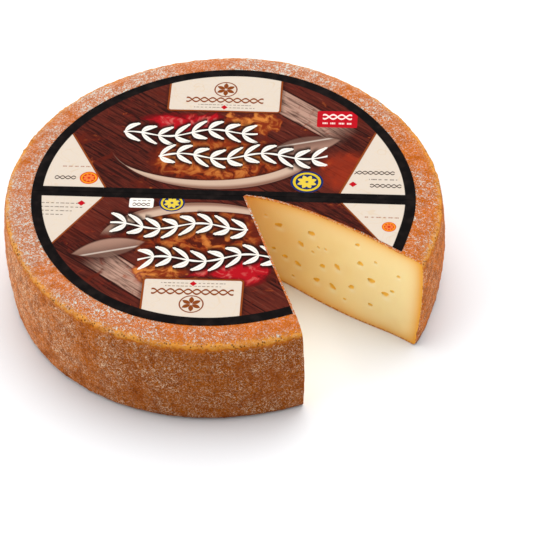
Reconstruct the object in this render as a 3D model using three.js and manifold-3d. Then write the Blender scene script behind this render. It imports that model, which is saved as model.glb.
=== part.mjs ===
// A washed-rind cheese wheel with one wedge cut out of it, and the paper label glued to its top
// face in two halves. Millimetres, +Z up, origin at the centre of the base. The seam between the
// two halves runs along X. The notch opens between +X and -Y, and its apex reaches the seam, so
// the knife has parted the front half of the label into a left piece and a right piece.
import * as THREE from "three";
import { mergeVertices } from "three/addons/utils/BufferGeometryUtils.js";
import Module from "manifold-3d";

// The wheel.
const HEIGHT = 72;
const EDGE_RADIUS = 152.8; // the arris where the top face turns into the side
const EDGE_DROP = 3; // how far the arris lies below the top face
const SHOULDER_START = 141; // the top face is flat up to here, then falls to the arris
const SIDE_BULGE = 2.2;
const FOOT_RADIUS = 152.5; // the side just above the rounded foot
const FOOT_ROUND = 4;
// Ripening and handling left the wheel a little off round, in two, three and four lobes.
const OFF_ROUND_WAVES = [
  { lobes: 2, height: 0.9, azimuth: 35 },
  { lobes: 3, height: 1.1, azimuth: -19 },
  { lobes: 4, height: 1, azimuth: -18 },
];

const CRUST_SWELL = 0.4; // long swells all over the side
const CRUST_RIPPLE = 0.25; // shorter ones that lean
const CRUST_BANDS = 0.25; // level bands that the mould and the turning left

// The notch. Its two faces meet in an upright edge, the apex, to one side of the wheel's centre.
const APEX = new THREE.Vector2(16, -2.5);
const FACE_LENGTH = 142; // from the apex to the rim, the same on both faces
const FAR_AZIMUTH = -27.2;
const NEAR_AZIMUTH = -70.8;
const FAR_BOW = 8; // the knife ran back from the straight line by this much
const FAR_BOW_SKEW = 0.72; // below 1, the bow is deepest nearer to the apex
const FAR_FLARE_AT_RIM = 8.5; // and the foot of that face stands forward by this much at the rim
const FAR_FLARE_MIDWAY = 7; // with this much more halfway
const RIM_SPREAD = 3; // the rim beside the far face has spread outwards by this much
const RIM_SPREAD_ANGLE = 8; // over about this many degrees
const KNIFE_WANDER = 0.25;
const CUT_PAST_TOP = 5; // the wedge that is cut away reaches past the top and the base by this
const CUT_PAST_RIM = 30; // and past the rim by this

// The eyes, which are the gas holes that the knife opened, as pockets that lean back at the top.
// These lie on the far face: distance along it, height and width of each.
const FAR_EYES = [
  [24, 51, 6.2],
  [50, 54, 6],
  [42, 41.5, 6],
  [14, 57, 3],
  [20, 28, 4],
  [29.5, 24.5, 5],
  [40, 23, 6],
  [61, 31, 5],
  [73, 36, 6],
  [91, 47, 5.2],
  [101, 37, 6.2],
  [57, 17, 5.6],
  [70.5, 18, 6.2],
  [86, 25, 5],
  [113, 31, 6],
  [118.5, 36, 4],
  [122.5, 51, 3.6],
  [87.5, 61, 4],
  [103, 53.5, 3],
  [52, 39, 3],
  [56.5, 45, 2.8],
  [62.5, 46, 2.8],
  [37, 10.5, 2.8],
  [81.5, 12.5, 3],
  [102, 17, 4],
];
// The near face is divided into cells, and most cells hold one eye.
const EYE_COLUMNS = 8;
const EYE_ROWS = 4;
const EYE_CHANCE = 0.85;
const EYE_WIDTH_MIN = 2.6;
const EYE_WIDTH_MAX = 6;
const EYE_MARGIN = 8; // no eye lies nearer than this to an edge of the face
const EYE_DEPTH = 0.55; // as a share of its width, as is its height
const EYE_HEIGHT = 0.72;
const EYE_LEAN = 38; // degrees that a pocket leans back

// The label.
const LABEL_RADIUS = 134.2;
const LABEL_THICKNESS = 0.3;
const LABEL_SETBACK = 1.6; // the paper shrank back from the cut by this much
const SEAM_Y = -2.7;
const SEAM_GAP = 0.3;

// Mesh fineness.
const TURNS = 128; // steps around the wheel, and around the label
const SIDE_STEPS = 8;
const FOOT_STEPS = 3;
const SHOULDER_STEPS = 4;
const CUT_STEPS = 14; // along each face of the notch
const CUT_LEVELS = 6; // up each face of the notch

const wasm = await Module();
wasm.setup();

// A closed geometry as a solid, with its doubled vertices merged and its collapsed faces dropped.
function solidOf(geometry) {
  const bare = new THREE.BufferGeometry()
    .setAttribute("position", geometry.getAttribute("position").clone())
    .setIndex(geometry.index);
  const merged = mergeVertices(bare, 1e-4);
  const corners = merged.index.array;
  const faces = [];
  for (let i = 0; i < corners.length; i += 3) {
    const [a, b, c] = corners.slice(i, i + 3);
    if (a !== b && b !== c && c !== a) faces.push(a, b, c);
  }
  return new wasm.Manifold(
    new wasm.Mesh({
      numProp: 3,
      vertProperties: merged.getAttribute("position").array,
      triVerts: new Uint32Array(faces),
    }),
  );
}

// A solid as a geometry that three.js can draw.
function geometryOf(solid) {
  const mesh = solid.getMesh();
  const geometry = new THREE.BufferGeometry()
    .setAttribute("position", new THREE.BufferAttribute(mesh.vertProperties, 3))
    .setIndex(new THREE.BufferAttribute(mesh.triVerts, 1));
  geometry.computeVertexNormals();
  return geometry;
}

// A closed geometry over a stack of rings with equal counts of points. Each ring is joined to
// the next, and the first and the last are closed with strips across from side to side.
function loft(rings) {
  const count = rings[0].length;
  const positions = rings.flat().flatMap((p) => [p.x, p.y, p.z]);
  const index = [];
  const quad = (a, b, c, d) => index.push(a, b, c, a, c, d);
  for (let i = 0; i + 1 < rings.length; i++) {
    for (let j = 0; j < count; j++) {
      const next = (j + 1) % count;
      const low = i * count;
      const high = low + count;
      quad(low + j, low + next, high + next, high + j);
    }
  }
  const top = (rings.length - 1) * count;
  for (let j = 0; j + 1 < count / 2; j++) {
    const across = count - 1 - j;
    quad(j, across, across - 1, j + 1);
    quad(top + j, top + j + 1, top + across - 1, top + across);
  }
  return new THREE.BufferGeometry()
    .setAttribute("position", new THREE.Float32BufferAttribute(positions, 3))
    .setIndex(index);
}

// A seeded generator of numbers from 0 to 1, so that every build is the same.
function seeded(seed) {
  let state = seed;
  return () => {
    state = (state * 1664525 + 1013904223) % 4294967296;
    return state / 4294967296;
  };
}

// Half of the wheel's section, from the centre of the base round the side to the top's centre.
function wheelProfile() {
  const points = [new THREE.Vector2(0, 0)];
  for (let i = 0; i <= FOOT_STEPS; i++) {
    const turn = ((i / FOOT_STEPS) * Math.PI) / 2;
    points.push(
      new THREE.Vector2(
        FOOT_RADIUS - FOOT_ROUND * (1 - Math.sin(turn)),
        FOOT_ROUND * (1 - Math.cos(turn)),
      ),
    );
  }
  const arrisHeight = HEIGHT - EDGE_DROP;
  for (let i = 1; i <= SIDE_STEPS; i++) {
    const t = i / SIDE_STEPS;
    points.push(
      new THREE.Vector2(
        THREE.MathUtils.lerp(FOOT_RADIUS, EDGE_RADIUS, t) + SIDE_BULGE * Math.sin(Math.PI * t),
        THREE.MathUtils.lerp(FOOT_ROUND, arrisHeight, t),
      ),
    );
  }
  for (let i = 1; i <= SHOULDER_STEPS; i++) {
    const t = i / SHOULDER_STEPS;
    points.push(
      new THREE.Vector2(
        THREE.MathUtils.lerp(EDGE_RADIUS, SHOULDER_START, t),
        HEIGHT - EDGE_DROP * (1 - t) ** 2,
      ),
    );
  }
  points.push(new THREE.Vector2(0, HEIGHT));
  return points;
}

// How far the outline stands out of a true circle of the edge's radius, at one azimuth.
function offRound(azimuth) {
  const degrees = THREE.MathUtils.radToDeg(azimuth);
  let outwards = RIM_SPREAD * Math.exp(-(((degrees - FAR_AZIMUTH) / RIM_SPREAD_ANGLE) ** 2));
  for (const wave of OFF_ROUND_WAVES) {
    const phase = THREE.MathUtils.degToRad(degrees - wave.azimuth);
    outwards += wave.height * Math.cos(wave.lobes * phase);
  }
  return outwards;
}

// How far the crust stands out at one place on the side.
function crustRelief(azimuth, z) {
  const swell = CRUST_SWELL * Math.sin(3 * azimuth + 0.7);
  const ripple = CRUST_RIPPLE * Math.sin(7 * azimuth + 0.06 * z);
  const bands = CRUST_BANDS * Math.sin(0.42 * z + 0.8 * Math.sin(5 * azimuth));
  return swell + ripple + bands;
}

// The whole wheel before the cut. The base and the ground under the label stay flat.
function wholeWheel() {
  const geometry = new THREE.LatheGeometry(wheelProfile(), TURNS);
  geometry.rotateX(Math.PI / 2);
  const places = geometry.getAttribute("position");
  for (let i = 0; i < places.count; i++) {
    const x = places.getX(i);
    const y = places.getY(i);
    const z = places.getZ(i);
    const radius = Math.hypot(x, y);
    if (radius === 0) continue;
    const azimuth = Math.atan2(y, x);
    const freedom =
      THREE.MathUtils.smoothstep(z, 0, FOOT_ROUND) *
      THREE.MathUtils.smoothstep(radius, SHOULDER_START, EDGE_RADIUS);
    const outwards =
      (offRound(azimuth) * radius) / EDGE_RADIUS + freedom * crustRelief(azimuth, z);
    const grown = 1 + outwards / radius;
    places.setXY(i, x * grown, y * grown);
  }
  return solidOf(geometry);
}

// One face of the notch: place(s, z) is the point s along it from the apex at height z, outward
// is the way from the cheese into the notch, and side says whether the cheese is to the left of
// it (1) or the right (-1). The face lies back from its straight line by offset(s, z).
function notchFace(azimuthDegrees, side, offset) {
  const azimuth = THREE.MathUtils.degToRad(azimuthDegrees);
  const along = new THREE.Vector2(Math.cos(azimuth), Math.sin(azimuth));
  const back = new THREE.Vector2(-along.y, along.x).multiplyScalar(side);
  const place = (s, z, setback = 0) => {
    const flat = APEX.clone()
      .addScaledVector(along, s)
      .addScaledVector(back, offset(s, THREE.MathUtils.clamp(z, 0, HEIGHT)) + setback);
    return new THREE.Vector3(flat.x, flat.y, z);
  };
  return { place, azimuth, side };
}

// How far along a face a distance from the apex is, from 0 to 1.
const share = (s) => THREE.MathUtils.clamp(s / FACE_LENGTH, 0, 1);

const farFace = notchFace(FAR_AZIMUTH, 1, (s, z) => {
  const bow = FAR_BOW * Math.sin(Math.PI * share(s) ** FAR_BOW_SKEW);
  const midway = FAR_FLARE_MIDWAY * Math.sin(Math.PI * share(s)) ** 2;
  const flare = (1 - z / HEIGHT) * (FAR_FLARE_AT_RIM * share(s) + midway);
  return bow - flare + KNIFE_WANDER * Math.sin(s / 9 + z / 17) * share(s);
});

const nearFace = notchFace(
  NEAR_AZIMUTH,
  -1,
  (s, z) => KNIFE_WANDER * Math.sin(s / 11 - z / 13) * share(s),
);

// The wedge that the knife took away, reaching past the rim, the base and the top. A setback
// widens it to both sides.
function wedge(setback) {
  const reach = FACE_LENGTH + CUT_PAST_RIM;
  const rings = [];
  for (let level = 0; level <= CUT_LEVELS; level++) {
    const z = THREE.MathUtils.lerp(-CUT_PAST_TOP, HEIGHT + CUT_PAST_TOP, level / CUT_LEVELS);
    const ring = [];
    for (let i = 0; i <= CUT_STEPS; i++) {
      ring.push(nearFace.place((i / CUT_STEPS) * reach, z, setback));
    }
    for (let i = CUT_STEPS; i >= 0; i--) {
      ring.push(farFace.place((i / CUT_STEPS) * reach, z, setback));
    }
    rings.push(ring);
  }
  return solidOf(loft(rings));
}

// Where the eyes of the near face lie: one in a random spot of most cells.
function scatteredEyes(seed) {
  const random = seeded(seed);
  const width = (FACE_LENGTH - 2 * EYE_MARGIN) / EYE_COLUMNS;
  const height = (HEIGHT - 2 * EYE_MARGIN) / EYE_ROWS;
  const spots = [];
  for (let cell = 0; cell < EYE_COLUMNS * EYE_ROWS; cell++) {
    const s = EYE_MARGIN + width * ((cell % EYE_COLUMNS) + random());
    const z = EYE_MARGIN + height * (Math.floor(cell / EYE_COLUMNS) + random());
    const across = THREE.MathUtils.lerp(EYE_WIDTH_MIN, EYE_WIDTH_MAX, random() ** 1.5);
    if (random() < EYE_CHANCE) spots.push([s, z, across]);
  }
  return spots;
}

// The eyes of one face: flattened balls that lean back into the cheese, each turned a little.
function eyes(face, spots) {
  const lean = -face.side * THREE.MathUtils.degToRad(EYE_LEAN);
  const hollows = spots.map(([s, z, across]) => {
    const hollow = new THREE.IcosahedronGeometry(across / 2, 1);
    hollow.scale(1, EYE_DEPTH, EYE_HEIGHT);
    hollow.rotateX(lean);
    hollow.rotateY(0.5 * Math.sin(s + z));
    hollow.rotateZ(face.azimuth);
    const centre = face.place(s, z);
    hollow.translate(centre.x, centre.y, centre.z);
    return solidOf(hollow);
  });
  return wasm.Manifold.union(hollows);
}

// The whole label before the seam parts it, already set back from the notch.
function wholeLabel() {
  const outline = [];
  for (let i = 0; i < TURNS; i++) {
    const azimuth = (i / TURNS) * 2 * Math.PI - Math.PI;
    const radius = LABEL_RADIUS + offRound(azimuth);
    outline.push(new THREE.Vector2(radius * Math.cos(azimuth), radius * Math.sin(azimuth)));
  }
  const geometry = new THREE.ExtrudeGeometry(new THREE.Shape(outline), {
    depth: LABEL_THICKNESS,
    bevelEnabled: false,
  });
  geometry.translate(0, 0, HEIGHT);
  return solidOf(geometry).subtract(wedge(LABEL_SETBACK));
}

// A named mesh of one solid, with a plain material.
function named(name, solid, color, roughness) {
  const material = new THREE.MeshStandardMaterial({ color, roughness, metalness: 0 });
  const mesh = new THREE.Mesh(geometryOf(solid), material);
  mesh.name = name;
  return mesh;
}

const hollows = eyes(farFace, FAR_EYES).add(eyes(nearFace, scatteredEyes(5)));
const wheel = wholeWheel().subtract(wedge(0)).subtract(hollows);

const label = wholeLabel();
const backHalf = label.trimByPlane([0, 1, 0], SEAM_Y + SEAM_GAP / 2);
const frontHalf = label.trimByPlane([0, -1, 0], -(SEAM_Y - SEAM_GAP / 2));
const leftFirst = (a, b) => a.boundingBox().min[0] - b.boundingBox().min[0];
const [frontLeft, frontRight] = frontHalf.decompose().sort(leftFirst);

const cheese = new THREE.Group();
cheese.add(named("cheese_wheel", wheel, 0xc97f45, 0.75));
cheese.add(named("label_back", backHalf, 0x3b1a14, 0.4));
cheese.add(named("label_front_left", frontLeft, 0x3b1a14, 0.4));
cheese.add(named("label_front_right", frontRight, 0x3b1a14, 0.4));

export default cheese;
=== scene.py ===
"""A washed-rind cheese wheel with one wedge cut out of it, and the paper label on its top face.

The wheel is one mesh with two finishes: the rind outside, and the paste where the knife went. The
label is three thin sheets, because the knife has parted its front half. Metres, +Z up, the origin
at the centre of the base, as in the frame.
"""

import math
from contextlib import contextmanager
from functools import partialmethod
from typing import NamedTuple

import bpy
import numpy as np
from bpy.props import FloatProperty, FloatVectorProperty, IntProperty, PointerProperty
from mathutils import Matrix, Vector


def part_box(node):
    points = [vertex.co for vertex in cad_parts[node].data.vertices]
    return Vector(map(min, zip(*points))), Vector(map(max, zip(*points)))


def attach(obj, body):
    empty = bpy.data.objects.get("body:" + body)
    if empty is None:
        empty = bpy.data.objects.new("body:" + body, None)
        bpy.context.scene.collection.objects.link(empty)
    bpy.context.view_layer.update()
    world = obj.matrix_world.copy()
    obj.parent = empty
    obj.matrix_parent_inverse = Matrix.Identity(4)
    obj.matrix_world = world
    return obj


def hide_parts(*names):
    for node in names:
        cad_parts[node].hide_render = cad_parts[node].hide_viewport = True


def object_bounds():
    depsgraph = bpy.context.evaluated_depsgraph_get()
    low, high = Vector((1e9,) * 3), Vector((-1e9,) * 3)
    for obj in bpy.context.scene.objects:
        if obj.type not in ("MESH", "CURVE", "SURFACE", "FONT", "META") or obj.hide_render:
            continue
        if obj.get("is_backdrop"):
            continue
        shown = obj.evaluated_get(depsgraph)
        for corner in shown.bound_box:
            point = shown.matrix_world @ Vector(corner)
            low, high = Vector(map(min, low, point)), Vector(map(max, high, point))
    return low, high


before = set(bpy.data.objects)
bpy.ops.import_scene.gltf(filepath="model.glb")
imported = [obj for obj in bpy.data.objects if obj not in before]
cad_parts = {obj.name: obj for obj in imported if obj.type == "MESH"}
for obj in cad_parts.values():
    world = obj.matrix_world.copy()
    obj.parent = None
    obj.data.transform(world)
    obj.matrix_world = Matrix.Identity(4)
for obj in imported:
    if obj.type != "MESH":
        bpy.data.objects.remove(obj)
cad_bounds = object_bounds()

bl_info = {
    "name": "Washed-Rind Cheese Wheel",
    "version": (1, 0, 0),
    "blender": (4, 5, 0),
    "location": "3D View > Sidebar > Cheese",
    "description": "Adds a cheese wheel with a wedge cut out, its paper label and a studio floor",
    "category": "Add Mesh",
}

MM = 0.001
BODY = "root"
WHEEL_NODE = "cheese_wheel"
BACK_SHEET = "label_back"
FRONT_SHEETS = ("label_front_left", "label_front_right")
LABEL_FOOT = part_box(BACK_SHEET)[0].z

# How fine the meshes are.
TURNS = 840
SIDE_ROWS = 58
TOP_RINGS = 18
TOP_RING_STEP = 1.12 * MM
CUT_STEP = 1.15 * MM
SHEET_STEP = 2.0 * MM
EYE_SUBDIVISIONS = 3
WEIGHT_STEPS = 20

# The cutters reach past the wheel and past the label's sheets by this much.
PAST_TOP = 5 * MM
PAST_RIM = 30 * MM
PAST_SHEET = 3 * MM

# The eyes that show on the far face: the way along it, the height and the width, in millimetres.
FAR_EYES = (
    (24, 51, 6.2), (50, 54, 6), (42, 41.5, 6), (14, 57, 3), (20, 28, 4),
    (29.5, 24.5, 5), (40, 23, 6), (61, 31, 5), (73, 36, 6), (91, 47, 5.2),
    (101, 37, 6.2), (57, 17, 5.6), (70.5, 18, 6.2), (86, 25, 5), (113, 31, 6),
    (118.5, 36, 4), (122.5, 51, 3.6), (87.5, 61, 4), (103, 53.5, 3), (52, 39, 3),
    (56.5, 45, 2.8), (62.5, 46, 2.8), (37, 10.5, 2.8), (81.5, 12.5, 3), (102, 17, 4),
)
NEAR_EYES_SEED = 5

# The wheel ripened a little off round: lobes, height and azimuth of each wave.
OFF_ROUND_WAVES = ((2, 0.9 * MM, 35), (3, 1.1 * MM, -19), (4, 1.0 * MM, -18))

# The rind broke along the top of a cut: length and phase of each wave of chips.
CHIP_WAVES = ((0.9 * MM, 0), (2.3 * MM, 1), (5.1 * MM, 2))

# The crust's relief: the setting with its height, where it lies, its size and its octaves.
CRUST_LAYERS = (
    ("lumps", "crust", 7.5 * MM, 1),
    ("wrinkles", "crust", 2.6 * MM, 1),
    ("crumbs", "arris", 4.2 * MM, 2),
)

# The lights: name, strength, and how far round and how high they stand, in degrees.
LIGHTS = (("key_light", 2.2, -78, 22), ("top_light", 3.15, 178, 60), ("fill_light", 1.7, 80, 18))


def srgb(red, green, blue):
    """A colour as it shows on a screen, 0 to 255, as the linear one that Blender mixes."""
    shares = (channel / 255 for channel in (red, green, blue))
    return tuple(s / 12.92 if s <= 0.04045 else ((s + 0.055) / 1.055) ** 2.4 for s in shares)


def length(description, default):
    """A size in metres."""
    return FloatProperty(description=description, default=default, unit="LENGTH")


def angle(description, degrees):
    """An angle, given in degrees and kept in radians."""
    return FloatProperty(description=description, default=math.radians(degrees), subtype="ANGLE")


def ratio(description, default):
    """A share, from nothing to the whole."""
    return FloatProperty(description=description, default=default, min=0, max=1)


def position(description, *default):
    """A place in metres, flat or in space."""
    return FloatVectorProperty(
        description=description, default=default, size=len(default), subtype="XYZ", unit="LENGTH"
    )


def colour(description, *screen):
    """A colour, given as it shows on a screen."""
    return FloatVectorProperty(
        description=description, default=srgb(*screen), subtype="COLOR", min=0, max=1
    )


def titled(group):
    """Gives every setting of the group its own name as the title that Blender shows."""
    for name, setting in group.__annotations__.items():
        setting.keywords["name"] = name.replace("_", " ").capitalize()
    return group


@titled
class WheelSettings(bpy.types.PropertyGroup):
    height: length("From the base to the top face", LABEL_FOOT)
    edge_radius: length("Of the arris where the top turns into the side", 152.8 * MM)
    edge_drop: length("How far the arris lies below the top face", 3 * MM)
    edge_round: length("How far the arris is worn round", 1.5 * MM)
    shoulder_start: length("Radius at which the top begins to fall", 141 * MM)
    side_bulge: length("How far the side stands out halfway up", 2.2 * MM)
    foot_radius: length("Of the side just above the foot", 152.5 * MM)
    foot_round: length("Radius of the rounded foot", 4 * MM)
    swell: length("Height of the long swells round the side", 0.4 * MM)
    ripple: length("Height of the leaning ripples and level bands", 0.25 * MM)
    lumps: length("Height of the crust's lumps", 0.9 * MM)
    wrinkles: length("Height of the crust's fine wrinkles", 0.55 * MM)
    crumbs: length("Height of the crumbly bits along the arris", 0.9 * MM)
    top_colour: colour("Orange of the rind's top", 190, 96, 6)
    # The side is darker than the top partly by its own tone and partly as painted shade.
    side_colour: colour("Brown orange of the rind's side", 150, 75, 0)
    # Lighter orange where the side dried, towards the back left, and painted light on the right
    # side.
    dry_colour: colour("Lighter orange of the side, left and right", 212, 112, 18)
    # Also the painted shade on the left of the top.
    deep_colour: colour("Darker patches of the rind", 136, 62, 0)
    bloom_colour: colour("Dried whitish smear on the side", 220, 190, 158)
    dust_colour: colour("The same smear on the top, where it is whiter", 198, 204, 196)
    edge_colour: colour("Gold of the worn arris", 214, 146, 56)
    ochre_colour: colour("Ochre just below the arris", 186, 98, 12)
    # Also the painted shade along the foot, where the wheel meets the floor.
    crumb_colour: colour("Dark crumbs between the threads", 96, 40, 3)
    pore_colour: colour("Dark pores along the arris", 92, 44, 14)
    paste_colour: colour("Inside of the cheese", 251, 230, 172)
    cloud_colour: colour("Deeper yellow patches of the paste", 240, 204, 128)
    # Also deeper gold as painted shade towards the notch's apex.
    gold_colour: colour("Paste just under the rind", 232, 158, 12)
    # Painted shade inside the eyes, darkest under their roofs.
    pit_colour: colour("Inside of the eyes", 255, 198, 8)
    # A painted highlight on the paste just below each eye.
    lip_colour: colour("Pale paste just below an eye", 255, 239, 206)
    section_colour: colour("The rind itself, where the knife went", 204, 122, 40)
    fleck_colour: colour("Pale flecks in that section", 232, 192, 146)


@titled
class NotchSettings(bpy.types.PropertyGroup):
    apex: position("Where the two cuts meet", 16 * MM, -2.5 * MM)
    face_length: length("Of a cut face, from the apex to the rim", 142 * MM)
    far_azimuth: angle("Direction of the far face", -27.2)
    near_azimuth: angle("Direction of the near face", -70.8)
    far_bow: length("How far the knife ran back on the far face", 8 * MM)
    far_bow_skew: ratio("Below 1, deepest nearer to the apex", 0.72)
    far_flare_rim: length("How far the foot stands forward at the rim", 8.5 * MM)
    far_flare_midway: length("How much further it stands forward halfway", 7 * MM)
    rim_spread: length("How far the rim beside the far face has spread", 3 * MM)
    rim_spread_angle: angle("About how much of the rim has spread", 8)
    wander: length("How far the knife wandered", 0.25 * MM)
    chips: length("How far the rind broke back along the top of a cut", 0.5 * MM)
    eye_columns: IntProperty(description="Cells along a face", default=8)
    eye_rows: IntProperty(description="Cells up a face", default=4)
    eye_chance: ratio("Share of the cells that hold an eye", 0.85)
    eye_smallest: length("Width of the smallest eye", 2.6 * MM)
    eye_largest: length("Width of the largest eye", 6 * MM)
    eye_margin: length("No eye is nearer to an edge of the face", 8 * MM)
    eye_depth: ratio("Of an eye, as a share of its width", 0.45)
    eye_height: ratio("Of an eye, as a share of its width", 0.92)
    eye_tilt: angle("How far the top of an eye leans into the cheese", 38)


@titled
class LabelSettings(bpy.types.PropertyGroup):
    radius: length("Of the label, on a true circle", 134.2 * MM)
    seam: length("Where the two halves meet, along Y", -2.7 * MM)
    ring_width: length("Of the black ring round the label", 7.5 * MM)
    bar_width: length("Of the black bar beside the seam, on each half", 5.1 * MM)
    cockle: length("How far the damp paper has cockled", 0.25 * MM)
    ink_black: colour("Ring and bar", 6, 3, 3)
    cream: colour("Paper of the fields", 199, 186, 172)
    border: colour("Brown lines round the fields", 126, 58, 18)
    wood_dark: colour("Shade of the printed planks", 42, 13, 9)
    wood: colour("Body of the printed planks", 80, 29, 20)
    wood_light: colour("Lights of the printed planks", 128, 72, 56)
    weathered: colour("One pale printed plank", 176, 140, 122)
    glow: colour("Orange of the printed glow", 122, 40, 10)
    gold: colour("Gold of the printed glow", 200, 122, 54)
    red: colour("Red print", 168, 10, 24)
    white: colour("Leaves of the garlands", 224, 219, 210)


@titled
class StageSettings(bpy.types.PropertyGroup):
    floor_size: length("Side of the square floor", 6.0)
    floor_colour: colour("Of the floor, near white", 231, 232, 234)
    floor_lights: colour("Lighter patches of the floor", 235, 236, 238)
    azimuth: angle("Of the camera round the wheel", 3.83)
    elevation: angle("Of the camera above the floor", 43.25)
    roll: angle("Of the camera about its view", -1.09)
    distance: length("From the camera to its target", 2.1536)
    target: position("Where the camera looks, on the floor", 29.7 * MM, 2.5 * MM, 0.0)
    lens: FloatProperty(description="Focal length in millimetres", default=202.63, min=1)
    sky: ratio("Strength of the light from all round", 0.21)
    light_width: angle("How wide the lights look", 70)


# Meshes.


def points_of(mesh):
    """The mesh's points as an array with a row each."""
    flat = np.empty(len(mesh.vertices) * 3)
    mesh.vertices.foreach_get("co", flat)
    return flat.reshape(-1, 3)


def move_points(mesh, points):
    """Gives the mesh's points new places."""
    mesh.vertices.foreach_set("co", points.ravel())
    mesh.update()


def at_edge_ends(mesh, values):
    """A value that each point has, given for the two ends of every edge."""
    ends = np.empty(len(mesh.edges) * 2, int)
    mesh.edges.foreach_get("vertices", ends)
    return values[ends.reshape(-1, 2)]


def add_attribute(mesh, name, values):
    """Stores one number for each point, which a finish can read."""
    mesh.attributes.new(name, "FLOAT", "POINT").data.foreach_set("value", values)


def make_active(piece):
    """Selects one object and nothing else."""
    bpy.ops.object.select_all(action="DESELECT")
    piece.select_set(True)
    bpy.context.view_layer.objects.active = piece


@contextmanager
def editing(piece, kind="polygons", chosen=True):
    """Edit mode on a piece, with only the chosen elements of one kind selected, or all of them."""
    kinds = ("vertices", "edges", "polygons")
    for name in kinds:
        elements = getattr(piece.data, name)
        selected = np.zeros(len(elements), bool)
        if name == kind:
            selected[:] = chosen
        elements.foreach_set("select", selected)
    make_active(piece)
    bpy.context.tool_settings.mesh_select_mode = [name == kind for name in kinds]
    bpy.ops.object.mode_set(mode="EDIT")
    yield
    bpy.ops.object.mode_set(mode="OBJECT")


def face_outwards(piece):
    """Turns the faces of a closed piece to its outside."""
    with editing(piece):
        bpy.ops.mesh.normals_make_consistent(inside=False)


def apply_modifier(piece, kind, **settings):
    """Adds a modifier with these settings and applies it."""
    modifier = piece.modifiers.new(kind.lower(), kind)
    for name, value in settings.items():
        setattr(modifier, name, value)
    make_active(piece)
    bpy.ops.object.modifier_apply(modifier=modifier.name)


def combine(piece, other, operation):
    """Cuts the piece by another solid, or keeps what both share, and removes the other."""
    apply_modifier(piece, "BOOLEAN", object=other, operation=operation, solver="MANIFOLD")
    if not piece.data.polygons:
        raise RuntimeError(f"nothing is left of {piece.name} after the boolean with {other.name}")
    bpy.data.objects.remove(other)


def smoothstep(value, low, high):
    """0 at low, 1 at high and smooth between them, either of which may be the larger."""
    share = np.clip((value - low) / (high - low), 0, 1)
    return share * share * (3 - 2 * share)


def polar(points):
    """Radius and azimuth of each point about the wheel's axis."""
    return np.hypot(points[:, 0], points[:, 1]), np.arctan2(points[:, 1], points[:, 0])


# The wheel's form.


def off_round(azimuth, notch):
    """How far the outline stands out of a true circle of the edge's radius."""
    past = (azimuth - notch.far_azimuth) / notch.rim_spread_angle
    outwards = notch.rim_spread * np.exp(-(past**2))
    for lobes, height, crest in OFF_ROUND_WAVES:
        outwards = outwards + height * np.cos(lobes * (azimuth - math.radians(crest)))
    return outwards


def crust_relief(azimuth, z, wheel):
    """The side's long swells, leaning ripples and level bands."""
    swell = wheel.swell * np.sin(3 * azimuth + 0.7)
    ripple = np.sin(7 * azimuth + 60 * z)
    bands = np.sin(420 * z + 0.8 * np.sin(5 * azimuth))
    return swell + wheel.ripple * (ripple + bands)


def arris_offsets(points, wheel, notch):
    """How far each point lies inwards of the arris, and how far below it."""
    radius, azimuth = polar(points)
    inwards = wheel.edge_radius + off_round(azimuth, notch) - radius
    return inwards, wheel.height - wheel.edge_drop - points[:, 2]


def add_drum(wheel):
    """A plain drum with rounded edges, rows up its side and rings on its top."""
    bpy.ops.mesh.primitive_cylinder_add(
        vertices=TURNS,
        radius=wheel.foot_radius,
        depth=wheel.height,
        end_fill_type="NGON",
        location=(0, 0, wheel.height / 2),
    )
    drum = bpy.context.object
    bpy.ops.object.transform_apply(location=True, rotation=True, scale=True)
    for level, offset, segments in ((0, wheel.foot_round, 4), (wheel.height, wheel.edge_round, 2)):
        heights = at_edge_ends(drum.data, points_of(drum.data)[:, 2])
        with editing(drum, "edges", np.all(np.isclose(heights, level, atol=1e-5), axis=1)):
            bpy.ops.mesh.bevel(offset=offset, segments=segments, affect="EDGES")
    heights = at_edge_ends(drum.data, points_of(drum.data)[:, 2])
    with editing(drum, "edges", np.abs(heights[:, 0] - heights[:, 1]) > wheel.height / 2):
        bpy.ops.mesh.subdivide(number_cuts=SIDE_ROWS - 1)
    top = [polygon.normal.z > 0.99 for polygon in drum.data.polygons]
    with editing(drum, "polygons", top):
        for _ in range(TOP_RINGS):
            bpy.ops.mesh.inset(thickness=TOP_RING_STEP)
    return drum


def shape_drum(drum, wheel, notch):
    """Bulges the side, drops the shoulder and puts the outline off round."""
    points = points_of(drum.data)
    radius, azimuth = polar(points)
    z = points[:, 2]
    rise = np.clip((z - wheel.foot_round) / (wheel.height - wheel.foot_round), 0, 1)
    shoulder = np.clip(
        (radius - wheel.shoulder_start) / (wheel.foot_radius - wheel.shoulder_start), 0, 1
    )
    grown = radius + (radius / wheel.foot_radius) * (
        wheel.side_bulge * np.sin(math.pi * rise)
        + (wheel.edge_radius - wheel.foot_radius) * rise
        + off_round(azimuth, notch)
    )
    grown += (
        crust_relief(azimuth, z, wheel)
        * smoothstep(z, 0, wheel.foot_round)
        * smoothstep(radius, wheel.shoulder_start, wheel.foot_radius)
    )
    stretch = np.where(radius > 0, grown / np.maximum(radius, 1e-9), 1)
    points[:, :2] *= stretch[:, None]
    points[:, 2] = z - wheel.edge_drop * shoulder**2 * rise
    move_points(drum.data, points)


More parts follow.
